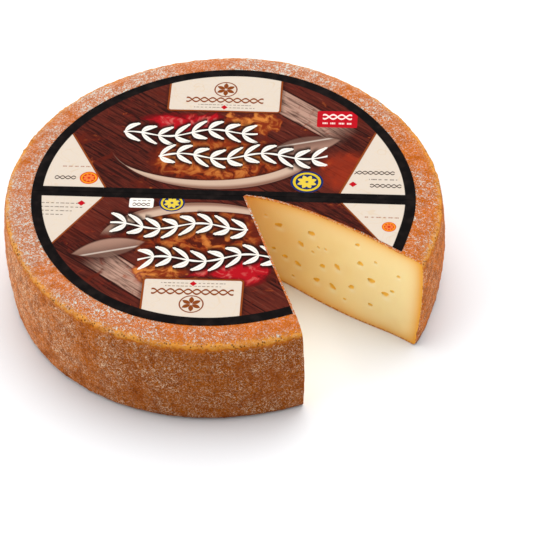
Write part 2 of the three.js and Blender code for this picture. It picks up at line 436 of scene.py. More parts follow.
def roughen_crust(drum, wheel, notch):
    """Gives the rind its lumps and wrinkles, and the arris its crumbs, but not under the label."""
    points = points_of(drum.data)
    inwards, below = arris_offsets(points, wheel, notch)
    open_rind = smoothstep(inwards, 18.2 * MM, 15 * MM) * smoothstep(points[:, 2], 0, 2 * MM)
    open_rind = open_rind * (1 - 0.6 * smoothstep(inwards, 2 * MM, 5 * MM))
    near_edge = smoothstep(np.hypot(inwards, below), 5 * MM, 1.5 * MM)
    for name, weights in (("crust", open_rind), ("arris", near_edge)):
        group = drum.vertex_groups.new(name=name)
        for step in range(1, WEIGHT_STEPS + 1):
            members = np.flatnonzero(np.round(weights * WEIGHT_STEPS) == step)
            group.add(members.tolist(), step / WEIGHT_STEPS, "REPLACE")
    for name, group, size, octaves in CRUST_LAYERS:
        texture = bpy.data.textures.new(name, "CLOUDS")
        texture.noise_scale = size
        texture.noise_depth = octaves
        apply_modifier(
            drum,
            "DISPLACE",
            texture=texture,
            vertex_group=group,
            strength=getattr(wheel, name),
            mid_level=0.5,
            texture_coords="LOCAL",
        )
        bpy.data.textures.remove(texture)
    points = points_of(drum.data)
    points[:, 2] = np.maximum(points[:, 2], 0)
    move_points(drum.data, points)
    drum.vertex_groups.clear()


# The notch.


class CutFace:
    """One face of the notch, which lies back from its straight line by offset(s, z)."""

    def __init__(self, apex, azimuth, side, offset):
        self.apex = np.array(apex)
        self.azimuth = azimuth
        self.side = side
        self.along = np.array((math.cos(azimuth), math.sin(azimuth)))
        self.back = side * np.array((-self.along[1], self.along[0]))
        self.offset = offset

    def place(self, s, z):
        """The points of the face s along it from the apex, at height z."""
        flat = self.apex + np.outer(s, self.along) + np.outer(self.offset(s, z), self.back)
        return np.column_stack((flat, z))

    def behind(self, points):
        """How far behind the face, in the cheese, each point lies."""
        from_apex = points[:, :2] - self.apex
        return from_apex @ self.back - self.offset(from_apex @ self.along, points[:, 2])


def cut_faces(wheel, notch):
    """The far and the near face of the notch."""

    def way(s):
        return np.clip(s / notch.face_length, 0, 1)

    def chips(s, z):
        broken = np.prod([np.sin(s / wave + phase) for wave, phase in CHIP_WAVES], axis=0)
        return notch.chips * np.abs(broken) * smoothstep(z, wheel.height - 2.2 * MM, wheel.height)

    def far_offset(s, z):
        level = np.clip(z, 0, wheel.height)
        bow = notch.far_bow * np.sin(math.pi * way(s) ** notch.far_bow_skew)
        midway = notch.far_flare_midway * np.sin(math.pi * way(s)) ** 2
        flare = (1 - level / wheel.height) * (notch.far_flare_rim * way(s) + midway)
        wander = notch.wander * np.sin(s / (9 * MM) + level / (17 * MM)) * way(s)
        return bow - flare + wander + chips(s, level)

    def near_offset(s, z):
        level = np.clip(z, 0, wheel.height)
        wander = notch.wander * np.sin(s / (11 * MM) - level / (13 * MM)) * way(s)
        return wander + chips(s + 7 * MM, level)

    return (
        CutFace(notch.apex, notch.far_azimuth, 1, far_offset),
        CutFace(notch.apex, notch.near_azimuth, -1, near_offset),
    )


def add_wedge(wheel, notch, faces):
    """The wedge that the knife took: a grid folded at the apex, with its back and ends closed."""
    reach = notch.face_length + PAST_RIM
    rise = wheel.height + 2 * PAST_TOP
    bpy.ops.mesh.primitive_grid_add(
        x_subdivisions=2 * round(reach / CUT_STEP), y_subdivisions=round(rise / CUT_STEP), size=2
    )
    wedge = bpy.context.object
    across, up, _ = points_of(wedge.data).T
    s = np.abs(across) * reach
    z = (up + 1) / 2 * rise - PAST_TOP
    far, near = (face.place(s, z) for face in faces)
    move_points(wedge.data, np.where(across[:, None] > 0, far, near))
    outer = at_edge_ends(wedge.data, np.isclose(s, reach, atol=1e-6))
    with editing(wedge, "edges", np.all(outer, axis=1)):
        bpy.ops.mesh.bridge_edge_loops()
    with editing(wedge):
        bpy.ops.mesh.fill_holes(sides=0)
    face_outwards(wedge)
    return wedge


def seeded(seed):
    """A seeded generator of numbers from 0 to 1, the same as the one behind the frame's eyes."""
    state = seed
    while True:
        state = (state * 1664525 + 1013904223) % 2**32
        yield state / 2**32


def scattered_eyes(wheel, notch, seed):
    """Eyes in random spots of most cells of a grid: way along the face, height and width."""
    draw = seeded(seed)
    cell_width = (notch.face_length - 2 * notch.eye_margin) / notch.eye_columns
    cell_height = (wheel.height - 2 * notch.eye_margin) / notch.eye_rows
    for cell in range(notch.eye_columns * notch.eye_rows):
        s = notch.eye_margin + cell_width * (cell % notch.eye_columns + next(draw))
        z = notch.eye_margin + cell_height * (cell // notch.eye_columns + next(draw))
        spare = notch.eye_largest - notch.eye_smallest
        width = notch.eye_smallest + spare * next(draw) ** 1.5
        if next(draw) < notch.eye_chance:
            yield s, z, width


def add_eyes(face, eyes, notch):
    """The hollows of one face: flattened and a little lumpy, their tops leaning into the cheese."""
    hollows = []
    for s, z, width in eyes:
        bpy.ops.mesh.primitive_ico_sphere_add(subdivisions=EYE_SUBDIVISIONS, radius=width / 2)
        hollow = bpy.context.object
        ball = points_of(hollow.data)
        around = np.arctan2(ball[:, 2], ball[:, 0])
        lumps = 1 + 0.09 * np.sin(3 * around + s / MM) + 0.06 * np.sin(5 * around - z / MM)
        squash = Matrix.Diagonal((1, notch.eye_depth, notch.eye_height))
        lean = Matrix.Rotation(-face.side * notch.eye_tilt, 3, "X")
        swing = Matrix.Rotation(0.5 * math.sin((s + z) / MM), 3, "Y")
        turn = Matrix.Rotation(face.azimuth, 3, "Z")
        shape = np.array(turn @ swing @ lean @ squash)
        centre = face.place(np.array([s]), np.array([z]))
        move_points(hollow.data, (ball * lumps[:, None]) @ shape.T + centre)
        hollows.append(hollow)
    return hollows


def join(parts):
    """Joins these objects into the first."""
    make_active(parts[0])
    for part in parts:
        part.select_set(True)
    bpy.ops.object.join()
    return parts[0]


def give_finishes(piece, finishes, index=0):
    """Fills the piece's material slots, and sets which one its faces wear."""
    piece.data.materials.clear()
    for finish in finishes:
        piece.data.materials.append(finish)
    piece.data.polygons.foreach_set("material_index", np.full(len(piece.data.polygons), index))


def mark_depths(piece, wheel, notch, faces):
    """Stores for each point how deep under the surface it is, how golden the paste is there, with
    painted shade as deeper gold towards the notch's apex, how far along the rind from the arris it
    lies, and how shaded it is inside an eye, as painted shade."""
    points = points_of(piece.data)
    z = points[:, 2]
    rise = np.clip(z / wheel.height, 0, 1)
    inwards, below = arris_offsets(points, wheel, notch)
    from_side = np.maximum(inwards + wheel.side_bulge * np.sin(math.pi * rise), 0)
    from_top = np.maximum(wheel.height - z, 0)
    from_apex = np.hypot(*(points[:, :2] - np.array(notch.apex)).T)
    pale = np.ones(len(points))
    for depth, most, reach, fall in (
        (from_side, 1.0, 7.0 * MM, 1.6),
        (from_top, 1.0, 4.4 * MM, 1),
        (z, 0.95, 4.4 * MM, 1),
        # Deeper gold towards the apex: painted shade in the notch's corner.
        (from_apex, 0.5, 35 * MM, 1),
    ):
        pale *= 1 - most * np.exp(-((depth / reach) ** fall))
    below = np.maximum(below, 0)
    along = np.where(below > np.maximum(inwards, 0), -below, inwards)
    behind = [face.behind(points) for face in faces]
    nearest = np.where(np.abs(behind[0]) < np.abs(behind[1]), *behind)
    normals = np.empty(len(points) * 3)
    piece.data.vertex_normals.foreach_get("vector", normals)
    roof = smoothstep(normals[2::3], 0.45, -0.35)
    inside_eye = smoothstep(nearest, 0.05 * MM, 0.8 * MM)
    add_attribute(piece.data, "rind_depth", np.minimum(np.minimum(from_side, from_top), z))
    add_attribute(piece.data, "gold", 1 - pale)
    add_attribute(piece.data, "from_arris", along)
    add_attribute(piece.data, "eye_shade", inside_eye * (0.8 + 0.2 * roof))


def mark_lip_highlights(piece, faces, eyes):
    """Stores for each point how near it lies to the middle of the painted highlight on the lip
    below an eye.
    """
    points = points_of(piece.data)
    lips = np.zeros(len(points))
    for face, holes in zip(faces, eyes):
        along = (points[:, :2] - face.apex) @ face.along
        on_face = np.abs(face.behind(points)) < 0.3 * MM
        for s, z, width in holes:
            across = (along - s - 0.12 * width) / (0.5 * width)
            below = (z - points[:, 2] - 0.52 * width) / (0.3 * width)
            lip = np.where(on_face, np.exp(-(across**2) - below**2), 0)
            lips = np.maximum(lips, lip)
    add_attribute(piece.data, "eye_lip", lips)


# Finishes.


class Wire:
    """A node's output in a formula: arithmetic on it adds Math nodes."""

    def __init__(self, finish, socket):
        self.finish = finish
        self.socket = socket

    def math_node(self, operation, *others):
        """One Math node, with this wire as its first value."""
        return self.finish.node(
            "ShaderNodeMath", {"operation": operation}, enumerate((self, *others))
        )

    __add__ = __radd__ = partialmethod(math_node, "ADD")
    __sub__ = partialmethod(math_node, "SUBTRACT")
    __mul__ = partialmethod(math_node, "MULTIPLY")
    __truediv__ = partialmethod(math_node, "DIVIDE")
    __abs__ = partialmethod(math_node, "ABSOLUTE")
    # The smaller and the larger of two, and the angle of the point (other, self).
    least = partialmethod(math_node, "MINIMUM")
    most = partialmethod(math_node, "MAXIMUM")
    angle_to = partialmethod(math_node, "ARCTAN2")
    floor = partialmethod(math_node, "FLOOR")
    fraction = partialmethod(math_node, "FRACT")
    sine = partialmethod(math_node, "SINE")
    cosine = partialmethod(math_node, "COSINE")
    root = partialmethod(math_node, "SQRT")

    def __rsub__(self, number):
        return self.finish.node("ShaderNodeMath", {"operation": "SUBTRACT"}, {0: number, 1: self})

    def step(self, low, high):
        """0 at low, 1 at high and smooth between them, either of which may be the larger."""
        return self.finish.node(
            "ShaderNodeMapRange",
            {"interpolation_type": "SMOOTHSTEP"},
            {"Value": self, "From Min": low, "From Max": high},
        )

    def over(self, edge=0.0, blur=0.12):
        """1 where it is above the edge and 0 below, blurred by this much on both sides."""
        return self.step(edge - blur, edge + blur)


class Finish:
    """A material and its nodes: the colour so far, and the place that patterns are laid out in."""

    def __init__(self, name, base):
        self.material = bpy.data.materials.new(name)
        self.material.use_nodes = True
        self.tree = self.material.node_tree
        self.tree.nodes.clear()
        self.base = base
        self.place = self.node("ShaderNodeTexCoord", output="Object")

    def node(self, kind, settings=(), values=(), output=0):
        """Adds one node: its settings are set first, then its sockets get values or links."""
        made = self.tree.nodes.new(kind)
        for name, value in dict(settings).items():
            setattr(made, name, value)
        for name, value in dict(values).items():
            socket = made.inputs[name]
            if isinstance(value, Wire):
                self.tree.links.new(value.socket, socket)
            else:
                socket.default_value = (*value, 1) if socket.type == "RGBA" else value
        return Wire(self, made.outputs[output])

    def axes(self):
        """X, Y and Z of the place, in millimetres."""
        parts = self.node("ShaderNodeSeparateXYZ", values={0: self.place})
        return [Wire(self, output) / MM for output in parts.socket.node.outputs]

    def attribute(self, name, unit=MM):
        """A number stored on the mesh, in these units."""
        return self.node("ShaderNodeAttribute", {"attribute_name": name}, output="Fac") / unit

    def point(self, x, y):
        """Two numbers as a place."""
        return self.node("ShaderNodeCombineXYZ", values={0: x, 1: y})

    def noise(self, size, place=None, detail=2.0, distortion=0.0, roughness=0.5):
        """Soft random patches about this size across, 0 to 1 and mostly near a half."""
        values = {"Vector": place or self.place, "Scale": 1 / size, "Detail": detail}
        values.update(Roughness=roughness, Distortion=distortion)
        return self.node("ShaderNodeTexNoise", values=values)

    def chance(self, number):
        """A random number from 0 to 1, another one for each value of this number."""
        return self.node("ShaderNodeTexWhiteNoise", {"noise_dimensions": "1D"}, {"W": number})

    def spots(self, x, y):
        """The way to the nearest of scattered spots, which lie about 1 apart."""
        return self.node(
            "ShaderNodeTexVoronoi",
            {"voronoi_dimensions": "2D"},
            {"Vector": self.point(x, y), "Scale": 1.0, "Randomness": 0.9},
            "Distance",
        )

    def worms(self, size, thickness, distortion=0.9):
        """Thin winding lines, 1 on a line and 0 off it."""
        wave = self.noise(size, detail=1.0, distortion=distortion)
        return abs(wave - 0.5).step(thickness, thickness * 0.5)

    def mix(self, under, over, share):
        """Two colours mixed: none of the second where the share is 0."""
        settings = {"data_type": "RGBA", "clamp_factor": True}
        return self.node("ShaderNodeMix", settings, {0: share, 6: under, 7: over}, 2)

    def lay(self, over, share):
        """Lays a colour over the one so far."""
        self.base = self.mix(self.base, over, share)

    def bump(self, height, distance):
        """A normal tilted by this height, which is 0 to 1, over this distance in metres."""
        return self.node(
            "ShaderNodeBump", values={"Height": height, "Distance": distance, "Strength": 1.0}
        )

    def surface(self, roughness, normal, **constants):
        """Closes the finish with a Principled surface and returns the material."""
        values = {"Base Color": self.base, "Roughness": roughness, "Normal": normal}
        values.update((name.replace("_", " "), value) for name, value in constants.items())
        shader = self.node("ShaderNodeBsdfPrincipled", values=values)
        end = self.tree.nodes.new("ShaderNodeOutputMaterial")
        self.tree.links.new(shader.socket, end.inputs["Surface"])
        return self.material


# From pore to pore along the arris, in millimetres.
PORE_SPACING = 2.3


def rind_finish(wheel):
    """The washed rind: orange, under a dried whitish smear that broke into short winding threads.

    The smear is thicker towards the back left, where the wheel dried first."""
    finish = Finish("rind", wheel.side_colour)
    x, y, z = finish.axes()
    from_arris = finish.attribute("from_arris")
    top = from_arris.step(-0.4, 1.2)
    dry = (y * 0.6 - x * 0.8).step(-100, 110)
    drift = finish.noise(30 * MM)
    clusters = finish.noise(8 * MM, detail=3.0)
    crumbs = finish.noise(1.3 * MM)
    threads = finish.worms(2.1 * MM, dry * 0.035 + 0.048)
    scraps = finish.worms(1.4 * MM, dry * 0.03 + 0.024, distortion=0.5)
    breaks = finish.noise(1.7 * MM, detail=1.0).step(0.42, 0.52)

    # The orange ground, with its patches and crumbs.
    # Lighter where it dried towards the back left, and painted light on the right side.
    finish.lay(wheel.dry_colour, (dry * 0.75).most(x.step(60, 150) * 0.7))
    # The top is lighter than the side, partly by its own tone and partly as painted light.
    finish.lay(wheel.top_colour, top)
    finish.lay(wheel.deep_colour, clusters.step(0.58, 0.35) * (0.7 - top * 0.35))
    finish.lay(wheel.edge_colour, top * from_arris.step(8, 1) * 0.3)
    finish.lay(wheel.crumb_colour, crumbs.step(0.5, 0.34) * (0.75 - top * 0.4))

    # The dried smear, then painted shade on the left of the top and along the foot.
    spread = clusters.step(0.34, 0.58) * 0.4 + drift.step(0.38, 0.58) * 0.6
    bloom = (threads * breaks).most(scraps * 0.5) * (spread * 0.85 + 0.15)
    bloom = bloom.most(spread * dry * 0.08)
    smear = finish.mix(wheel.bloom_colour, wheel.dust_colour, top)
    finish.lay(smear, bloom * (top * 0.15 + 0.85))
    # Painted shade on the left of the top.
    finish.lay(wheel.deep_colour, top * x.step(-70, -150) * 0.15)
    # Painted shade along the foot, where the wheel meets the floor.
    finish.lay(wheel.crumb_colour, (z + (clusters - 0.5) * 10).step(6, 0) * 0.6)

    # The worn arris: ochre below it, gold above it, and pores along it.
    jagged = from_arris + (finish.noise(4.2 * MM, detail=4.0) - 0.5) * 8
    ochre = jagged.step(-4.2, -1.6) * jagged.step(1.0, -0.4)
    gold = jagged.step(-1.4, -0.2) * jagged.step(3.6, 1.6)
    patchy = clusters.step(0.36, 0.6)
    finish.lay(wheel.ochre_colour, ochre * (patchy * 0.35 + 0.45))
    finish.lay(wheel.edge_colour, gold * (patchy * 0.45 + 0.3))
    arc = y.angle_to(x) * (wheel.edge_radius / MM)
    pores = finish.spots(arc / PORE_SPACING, from_arris / PORE_SPACING).step(0.32, 0.14)
    pores = pores * finish.noise(5 * MM, detail=1.0).step(0.44, 0.58)
    pores = pores * from_arris.step(-1.6, -0.6) * from_arris.step(3.4, 2.2)
    finish.lay(wheel.pore_colour, pores * 0.9)

    height = bloom * 0.6 + finish.noise(0.9 * MM, detail=3.0) * 0.5 - pores
    normal = finish.bump(height, 0.35 * MM)
    return finish.surface(bloom * 0.25 + 0.6, normal, Specular_IOR_Level=0.04)


def paste_finish(wheel):
    """The paste: pale yellow, golden towards the rind and, as painted shade, towards the notch's
    apex, with painted shade in the eyes, a painted highlight below each, and the rind's own section
    at its edge.
    """
    finish = Finish("paste", wheel.paste_colour)
    depth = finish.attribute("rind_depth")
    gold, shade, lip = (finish.attribute(name, 1.0) for name in ("gold", "eye_shade", "eye_lip"))
    specks = finish.noise(1.6 * MM)
    finish.lay(wheel.cloud_colour, finish.noise(24 * MM).step(0.45, 0.8) * 0.3)
    finish.lay(wheel.gold_colour, gold)
    # A painted highlight on the lip below each eye.
    finish.lay(wheel.lip_colour, lip * 0.7)
    # Painted shade inside the eyes.
    finish.lay(wheel.pit_colour, shade)
    section = finish.mix(wheel.section_colour, wheel.fleck_colour, specks.step(0.48, 0.6) * 0.7)
    finish.lay(section, (depth + (specks - 0.5) * 1.2).step(1.5, 0.8))
    drawn = finish.node(
        "ShaderNodeMapping", values={"Vector": finish.place, "Scale": (1.0, 1.0, 0.35)}
    )
    height = finish.noise(5 * MM, drawn) + finish.noise(0.8 * MM, detail=3.0) * 0.25
    normal = finish.bump(height, 0.25 * MM)
    return finish.surface(
        specks * 0.12 + 0.45,
        normal,
        Specular_IOR_Level=0.2,
        Subsurface_Weight=0.2,
        Subsurface_Radius=(1.0, 0.6, 0.25),
        Subsurface_Scale=3 * MM,
    )


# The label's print.


class Print(NamedTuple):
    """How one half of the label is printed, in millimetres on paper, the seam along its foot.

    A garland has its middle, length and rise in degrees, a plaque its two sides and its foot, a
    tag its middle, half sizes and inks, a roundel its middle, radius and inks, a line of small
    print its middle, half width, half height and ink, and a braid its middle and half width."""

    turned: bool
    slopes: tuple
    plaque: tuple
    warmth: tuple
    embers: float
    garlands: tuple
    roundels: tuple
    tag: tuple
    lines: tuple
    braids: tuple
    diamond: tuple


RED_INK = srgb(168, 10, 24)
DARK_INK = srgb(40, 24, 18)
BROWN_INK = srgb(138, 72, 42)
ROSETTE_INK = srgb(120, 58, 22)
LETTER_INK = srgb(60, 38, 28)
BRAID_INK = srgb(46, 28, 22)
# Painted sheen on the black ring and bar.
BLACK_SHEEN = srgb(44, 34, 31)
GAP_SHADE = srgb(22, 7, 6)
GARLAND_SHADE = srgb(22, 7, 5)
PLAQUE_SHADE = srgb(30, 10, 7)
RIBBON_SHADE = srgb(40, 12, 8)
PETAL_SHADE = srgb(34, 11, 8)
RED_GRAIN = srgb(126, 52, 34)
DULL_GLOW = srgb(84, 24, 12)
CHAR = srgb(50, 13, 7)
EMBERS = srgb(150, 44, 16)
DARK_BERRIES = srgb(96, 8, 12)
BERRY_LIGHTS = srgb(200, 112, 104)
RIBBON = srgb(186, 158, 138)
RIBBON_FOLD = srgb(112, 70, 54)
PETAL = srgb(170, 132, 114)
PETAL_RIB = srgb(206, 190, 176)
LEAF_VEIN = srgb(150, 124, 104)
CREAM_VEINS = srgb(196, 172, 142)
CREAM_FIBRES = srgb(202, 184, 160)
BLUE_INKS = (srgb(16, 38, 88), srgb(200, 172, 30), srgb(16, 38, 88), srgb(206, 180, 60))
ORANGE_INKS = (srgb(196, 70, 14), srgb(210, 136, 26), srgb(184, 36, 14), srgb(210, 110, 50))
BACK_PRINT = Print(
    turned=False,
    slopes=(0.5, 0.36),
    plaque=(-46.0, 36.5, 90.0),
    warmth=(-3.0, 36.0),
    embers=0.6,
    garlands=((-27, 66, 100, 4), (12, 42, 112, 2)),
    roundels=((58.6, 16.3, 11.5, BLUE_INKS), (-95.3, 14.6, 6.5, ORANGE_INKS)),
    tag=(77.5, 84.5, 14.5, 9.0, RED_INK, srgb(236, 206, 198)),
    lines=((-103, 26.5, 13, 0.6, BROWN_INK), (112, 20.5, 10, 0.6, DARK_INK)),
    braids=((105, 27.5, 15), (114, 14.0, 11), (-112, 14.6, 7.5)),
    diamond=(91, 15.0),
)
FRONT_PRINT = Print(
    turned=True,
    slopes=(0.71, 0.63),
    plaque=(-20.6, 48.5, 85.5),
    warmth=(16.0, 38.0),
    embers=0.1,
    garlands=((-6, 64, 112, 4), (28, 33, 100, 1)),
    roundels=((34.7, 9.4, 9.0, BLUE_INKS), (-117.4, 28.4, 5.0, ORANGE_INKS)),
    tag=(56.0, 10.2, 8.5, 4.9, srgb(226, 220, 212), srgb(80, 62, 54)),
    lines=(
        (113, 12.5, 14, 0.5, DARK_INK),
        (113, 16.5, 16, 0.5, DARK_INK),
        (116, 20.5, 12, 0.5, DARK_INK),
        (119, 24.5, 9, 0.5, DARK_INK),
        (-112, 19.0, 12, 0.6, BROWN_INK),
    ),
    braids=(),
    diamond=(98, 12.0),
)
SECTOR_FOOT = 81.0
PLANK_TURN = -38
PLANK_WIDTH = 23
PALE_PLANK = 4.5
PLAQUE_HEIGHT = 60
LEAF_SPACING = 12


class Paper(Finish):
    """The finish of one half of the label, with the place on the paper in millimetres."""

    def __init__(self, name, label, half):
        super().__init__(name, label.wood)
        self.label = label
        self.half = half
        x, y, _ = self.axes()
        turn = -1.0 if half.turned else 1.0
        self.x = x * turn
        self.y = (y - label.seam / MM) * turn

    def seen_from(self, x, y):
        """How far to the right of the point (x, y) and above it the place is."""
        return self.x - x, self.y - y

    def turned(self, x, y, degrees):
        """The place seen from (x, y), along and across a line that rises by this angle."""
        cosine, sine = math.cos(math.radians(degrees)), math.sin(math.radians(degrees))
        right, up = self.seen_from(x, y)
        return right * cosine + up * sine, up * cosine - right * sine

    def box(self, x, y, half_width, half_height, corner):
        """How far inside a box with rounded corners the place is."""
        right, up = self.seen_from(x, y)
        past_side = (abs(right) - (half_width - corner)).most(0)
        past_top = (abs(up) - (half_height - corner)).most(0)
        return corner - distance(past_side, past_top)

    def diamond(self, x, y, half_width):
        """How far inside a diamond the place is."""
        right, up = self.seen_from(x, y)
        return half_width - (abs(right) + abs(up))

    def blot(self, x, y, wide, high):
        """A soft round blot: 1 in its middle and 0 at its rim."""
        right, up = self.seen_from(x, y)
        right, up = right / wide, up / high
        return (right * right + up * up).step(1, 0)


def distance(right, up):
    """How far a place lies from the point it is seen from."""
    return (right * right + up * up).root()


def leaf(along, across, long, broad):
    """How far inside a leaf that starts at 0 and ends at long the place is."""
    middle = along / (long / 2) - 1
    return (1 - middle * middle) * broad - abs(across)


def flower(away, bearing, petals, start, long, broad):
    """How far inside a flower a place is that lies this far from its middle, at this angle."""
    turn = ((bearing * (petals / math.tau)).fraction() - 0.5) * (math.tau / petals)
    return leaf(away * turn.cosine() - start, away * turn.sine(), long, broad)


def braid(paper, x, y, half_width, swing, stroke):
    """How much a braid of two strands covers, that runs level through (x, y)."""
    right, line = paper.seen_from(x, y)
    wave = (right * (math.pi / (2.6 * swing))).sine() * swing
    strands = (stroke - abs(line - wave)).most(stroke - abs(line + wave))
    return strands.least(half_width - abs(right)).over(0, 0.2)


def small_print(paper, x, y, half_width, height):
    """How much a line of dashes covers, which stands in for small print."""
    right, up = paper.seen_from(x, y)
    word_length = height * 7
    word = right / word_length
    chance = paper.chance(word.floor() + y)
    dash = (chance * 0.2 + 0.25 - abs(word.fraction() - 0.5)) * word_length
    line = dash.least(height - abs(up)).least(half_width - abs(right))
    letters = (right * (math.pi / height)).sine() * 0.25 + 0.6
    return line.over(0, 0.15) * letters


def print_planks(paper):
    """Dark planks that run down to the right, with their grain, and one that is pale."""
    label = paper.label
    along, across = paper.turned(0, 0, PLANK_TURN)
    row = across / PLANK_WIDTH
    board = paper.chance(row.floor())
    fibres = paper.point(along / 24, across / 1.9 + board * 9)
    grain = paper.noise(1.0, fibres, detail=5.0, distortion=0.6, roughness=0.6)
    streak = paper.noise(1.0, paper.point(along / 9, across / 0.7), detail=3.0)
    shade = grain * 0.85 + board * 0.14 - 0.005
    paper.lay(label.wood_dark, shade.step(0.55, 0.34))
    paper.lay(label.wood_light, shade.step(0.56, 0.82) * 0.6)
    paper.lay(RED_GRAIN, streak.step(0.56, 0.7) * 0.35)
    pale = (0.46 - abs(row - PALE_PLANK)).over(0, 0.02)
    pale = pale * along.step(32, 4) * (grain.step(0.3, 0.6) * 0.75 + 0.1)
    paper.lay(label.weathered, pale)
    paper.lay(GAP_SHADE, abs(row.fraction() - 0.5).step(0.465, 0.49) * 0.85)


def print_glow(paper):
    """A warm glow in the middle, with red berries and a crisp patch above it and embers aside."""
    label = paper.label
    x, y = paper.half.warmth
    swirl = paper.noise(19 * MM, detail=4.0, distortion=1.0)
    flecks = paper.noise(10 * MM, detail=4.0, distortion=1.2, roughness=0.55)
    heat = paper.blot(x, y, 64, 36) + (swirl - 0.5) * 1.5
    paper.lay(DULL_GLOW, heat.step(0.1, 0.4))
    paper.lay(label.glow, heat.step(0.34, 0.72) * 0.9)
    paper.lay(label.gold, (heat * 0.5 + (flecks - 0.5) * 2.2).step(0.3, 0.95) * 0.85)
    paper.lay(CHAR, flecks.step(0.48, 0.36) * heat.step(0.15, 0.5) * 0.8)
    sway = (swirl - 0.5) * 70
    berries = paper.blot(x - 34 + sway, y + 40 + sway * 0.4, 34, 15) + (flecks - 0.5) * 1.2
    paper.lay(DARK_BERRIES, berries.step(0.05, 0.4) * 0.85)
    paper.lay(label.red, berries.step(0.4, 0.9) * 0.85)
    paper.lay(BERRY_LIGHTS, (berries + (flecks - 0.5) * 2).step(0.9, 1.5) * 0.6)
    crisp = paper.blot(x + 22 + sway, y + 44 - sway * 0.4, 30, 16) + (flecks - 0.5) * 1.2
    crust = crisp.step(0.1, 0.7) * 0.85
    paper.lay(label.glow, crust)
    paper.lay(label.gold, (crisp * 0.6 + (flecks - 0.5) * 2.4).step(0.3, 1.0) * crust)
    embers = paper.blot(x + 88, y - 8, 26, 30) * (flecks * 1.6 + 0.2)
    paper.lay(EMBERS, embers.step(0.15, 1.2) * paper.half.embers)


def print_ribbon(paper):
    """A pale ribbon with a soft fold, sweeping under the glow, and a pale leaf beside it."""
    x, y = paper.half.warmth
    right, up = paper.seen_from(x - 8, y + 16)
    radius = distance(right, up * 1.75)
    middle = (paper.x - (x + 10)) / 78
    band = (1 - middle * middle).most(0) * 8.0 - abs(radius - 72)
    low = paper.y.step(y + 8, y - 8)
    covered = band.over(0, 0.6) * low
    paper.lay(RIBBON_SHADE, band.step(-5, 0.5) * low * 0.75)
    paper.lay(RIBBON, covered * 0.95)
    paper.lay(RIBBON_FOLD, (radius - 72).step(-1, 6) * covered * 0.85)
    along, across = paper.turned(x + 34, y + 12, 16)
    petal = leaf(along, across, 52, 9.5)
    paper.lay(PETAL_SHADE, petal.step(-5, 2) * 0.6)
    paper.lay(PETAL, petal.over(0.5, 1.0) * (across.step(7, -7) * 0.5 + 0.2))
    rib = (0.7 - abs(across - 3.2)).over(0, 0.5)
    paper.lay(PETAL_RIB, rib * petal.over(1, 0.8) * 0.6)


def print_garland(paper, x, y, long, rise):
    """White leaves in pairs along a waving stem, with a dark halo that lifts them off."""
    along, across = paper.turned(x, y, rise)
    side = abs(across - (along / 9.5).sine() * 3.0)
    pair = along / LEAF_SPACING
    spot = pair.fraction() * LEAF_SPACING
    reach = (long / 2 - abs(along)).step(0, 6)
    whole = (long / 2 - abs((pair.floor() + 0.5) * LEAF_SPACING)).over(0, 0.1)
    out, off = spot * 0.76 + side * 0.65, side * 0.76 - spot * 0.65
    curl = off + (out - 8) * (out - 8) * 0.028 - 1.0
    blade = leaf(out, curl, 16.0, 2.0)
    berry = 1.15 - distance(spot - 10.4, side - 9.0)
    stem = (along * 0.33).sine() * 0.2 + 0.75 - side
    shape = blade.most(stem).most(berry)
    paper.lay(GARLAND_SHADE, shape.step(-5, -0.5) * reach * 0.92)
    paper.lay(paper.label.white, shape.over(0, 0.25) * whole)
    vein = (0.22 - abs(curl)).over(0, 0.15) * blade.over(0.7, 0.3) * whole
    paper.lay(LEAF_VEIN, vein * 0.6)


def print_sectors(paper):
    """Cream fields at both ends of the bar, each with a brown border and its small print."""
    label, half = paper.label, paper.half
    veins = paper.worms(20 * MM, 0.012, distortion=1.5)
    fibres = paper.noise(2 * MM, detail=3.0)
    cream = paper.mix(label.cream, CREAM_VEINS, veins * 0.45)
    cream = paper.mix(cream, CREAM_FIBRES, fibres.step(0.45, 0.75) * 0.5)
    left, right = half.slopes
    inside = (paper.x - SECTOR_FOOT - paper.y * right).most(
        paper.x * -1 - SECTOR_FOOT - paper.y * left
    )
    paper.lay(label.border, inside.over(-1.5, 0.2))
    paper.lay(cream, inside.over(0, 0.2))
    field = inside.over(1.2, 0.2)
    for *line, ink in half.lines:
        paper.lay(ink, small_print(paper, *line) * field)
    for line in half.braids:
        paper.lay(BRAID_INK, braid(paper, *line, swing=1.5, stroke=0.5) * field)
    paper.lay(label.red, paper.diamond(*half.diamond, 2.9).over(0, 0.2) * field)
    return cream


def print_roundel(paper, x, y, radius, inks):
    """A small round ornament: three discs one in the other, and a flower of eight petals."""
    right, up = paper.seen_from(x, y)
    away = distance(right, up)
    for share, ink in zip((1, 0.86, 0.7), inks):
        paper.lay(ink, (radius * share - away).over())
    petals = flower(away, up.angle_to(right), 8, 0.8, radius * 0.56, radius * 0.15)
    paper.lay(inks[3], petals.over())


